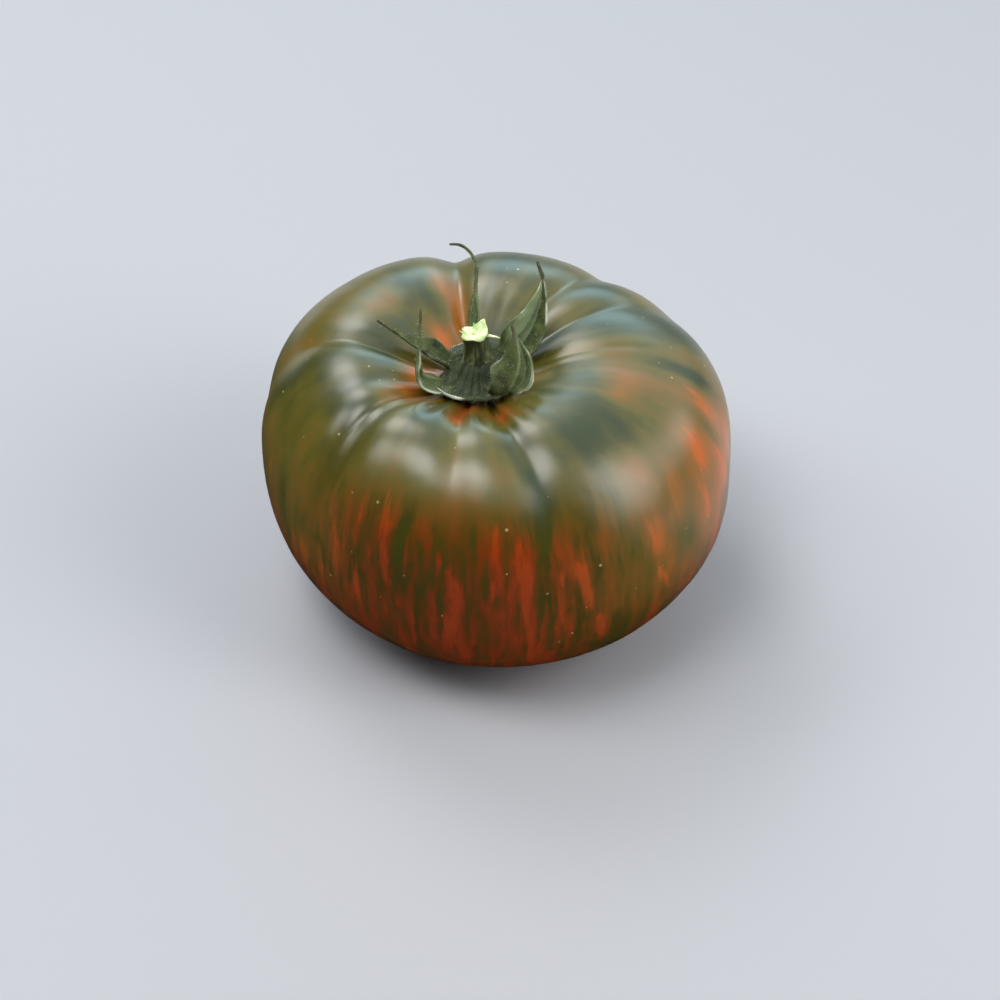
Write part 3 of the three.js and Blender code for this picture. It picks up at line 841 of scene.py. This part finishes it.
stub = {
    "footRadius": 3.3,
    "radius": 1.95,
    "foot": 3.2,
    "top": 9.5,
    "lean": (-0.4, 0.2),
    "ribs": (5, 0.2),
    "corners": (4, 45, 0.24),  # the cut is square rather than round: how many, azimuth of one, how far in mm
    "slope": 0.3,
    "rag": 0.4,
    "flare": 0.16,
    "horns": [(186, 20, 0.75), (48, 18, 1.0), (-48, 22, 0.3)],  # torn corners: azimuth, spread, height
    "rings": 16,
    "cutRings": 6,
    "fibres": [
        # azimuth, length, width, how far outwards and upwards
        (-8, 2.5, 0.85, 1.0, -0.1), (95, 0.9, 0.5, 0.2, 0.9), (-60, 0.6, 0.4, 0.3, 0.5),
        (176, 0.9, 0.55, 0.8, 0.5), (50, 0.9, 0.5, 0.2, 0.9), (-120, 0.5, 0.4, 0.4, 0.4),
    ],
}


def makeStalk():
    bpy.ops.mesh.primitive_circle_add(vertices=72, radius=stub["radius"] * mm, fill_type="NGON")
    stalk = bpy.context.object
    bpy.ops.object.mode_set(mode="EDIT")
    step = (stub["top"] - stub["foot"]) / stub["rings"] * mm
    for _ in range(stub["rings"]):
        bpy.ops.mesh.extrude_region_move(TRANSFORM_OT_translate={"value": (0, 0, step)})
    for _ in range(stub["cutRings"]):
        bpy.ops.mesh.inset(thickness=stub["radius"] * mm / (stub["cutRings"] + 1))
    bpy.ops.mesh.select_all(action="SELECT")
    bpy.ops.mesh.normals_make_consistent(inside=False)
    bpy.ops.object.mode_set(mode="OBJECT")
    points = getPoints(stalk.data) / mm
    share = points[:, 2] / (stub["top"] - stub["foot"])
    angle = np.arctan2(points[:, 1], points[:, 0])
    reach = np.hypot(points[:, 0], points[:, 1]) / stub["radius"]
    cut = share > 0.999
    ribs, ribDepth = stub["ribs"]
    corners, cornerTurn, cornerReach = stub["corners"]
    widen = 1 + ribDepth / stub["radius"] * np.cos(ribs * angle)
    square = np.cos(corners * (angle - math.radians(cornerTurn)))
    widen += cornerReach / stub["radius"] * square * smoothRamp(share, 0.6, 1)
    widen += (stub["footRadius"] / stub["radius"] - 1) * (1 - share) ** 3
    widen += stub["flare"] / stub["radius"] * smoothRamp(share, 0.86, 1)
    grain = [Vector((math.cos(a) * 2.6, math.sin(a) * 2.6, r * 2.5)) for a, r in zip(angle, reach)]
    lift = stub["rag"] * np.array([noise.noise(spot) for spot in grain]) * (0.5 + reach) - 0.35 * (1 - reach)
    lift += stub["slope"] * reach * np.cos(angle)
    for middle, spread, height in stub["horns"]:
        lift += height * np.exp(-((turnApart(np.degrees(angle), middle) / spread) ** 2)) * smoothRamp(reach, 0.5, 1)
    points[:, 0] = points[:, 0] * widen + stub["lean"][0] * share**2
    points[:, 1] = points[:, 1] * widen + stub["lean"][1] * share**2
    points[:, 2] += stub["foot"] + lift * cut
    setPoints(stalk.data, (points + stemFoot / mm) * mm)
    setAttribute(stalk.data, "cut", np.where(cut, 0.6 + 0.4 * reach, 0.5 * smoothRamp(share, 0.9, 1)))
    return stalk


def makeFibre(azimuth, length, width, out, up):
    bpy.ops.mesh.primitive_cone_add(vertices=8, radius1=width / 2 * mm, radius2=0.12 * mm, depth=length * mm)
    fibre = bpy.context.object
    bpy.ops.object.mode_set(mode="EDIT")
    bpy.ops.mesh.select_all(action="SELECT")
    bpy.ops.mesh.subdivide(number_cuts=3)
    bpy.ops.object.mode_set(mode="OBJECT")
    turn = math.radians(azimuth)
    outward = np.array([math.cos(turn), math.sin(turn), 0])
    root = outward * (stub["radius"] - 0.35) + np.array([*stub["lean"], stub["top"] - 0.4])
    heading = outward * out + np.array([0, 0, up])
    heading /= np.linalg.norm(heading)
    side = np.cross(heading, (0, 0, 1))
    side /= np.linalg.norm(side)
    flat = np.cross(heading, side)
    points = getPoints(fibre.data) / mm
    share = points[:, 2] / length + 0.5
    shaped = root + heading * (share * length)[:, None] + side * points[:, :1] + flat * points[:, 1:2] * 0.6
    shaped += np.array([noise.noise_vector(Vector(point * 1.7)) for point in shaped]) * 0.16
    setPoints(fibre.data, (shaped + stemFoot / mm) * mm)
    setAttribute(fibre.data, "cut", 0.55 + 0.45 * share)
    return fibre


def stalkMaterial():
    stalk = Nodes(bpy.data.materials.new("green stalk with a pale cut"))
    where = stalk.add("TexCoord").outputs["Object"]
    streaks = stalk.noise(where, (1500, 1500, 160), 3, 0.6)
    color = stalk.mix(stalk.ramp(streaks, 0.42, 0.7), (0.03, 0.036, 0.012), (0.15, 0.175, 0.075))
    cut = stalk.attribute("cut")
    grain = stalk.noise(where, (1100, 1100, 1100), 3)
    pale = stalk.mix(stalk.ramp(grain, 0.35, 0.65), (0.36, 0.5, 0.2), (0.72, 0.82, 0.5))
    color = stalk.mix(stalk.ramp(cut, 0.35, 0.62), color, pale)
    stalk.surface("Base Color", color)
    stalk.surface("Roughness", 0.6)
    stalk.surface("Specular IOR Level", 0.3)
    stalk.bump(stalk.math("ADD", streaks, grain), 0.4, 0.0002)
    return stalk.owner


def makeStub():
    stalk = makeStalk()
    fibres = [makeFibre(*fibre) for fibre in stub["fibres"]]
    selectOnly(stalk, *fibres)
    bpy.ops.object.join()
    stalk.name = "stem_stalk"
    finishPiece(stalk, stalkMaterial(), "stem_stub")


makeStub()
print("stub done")
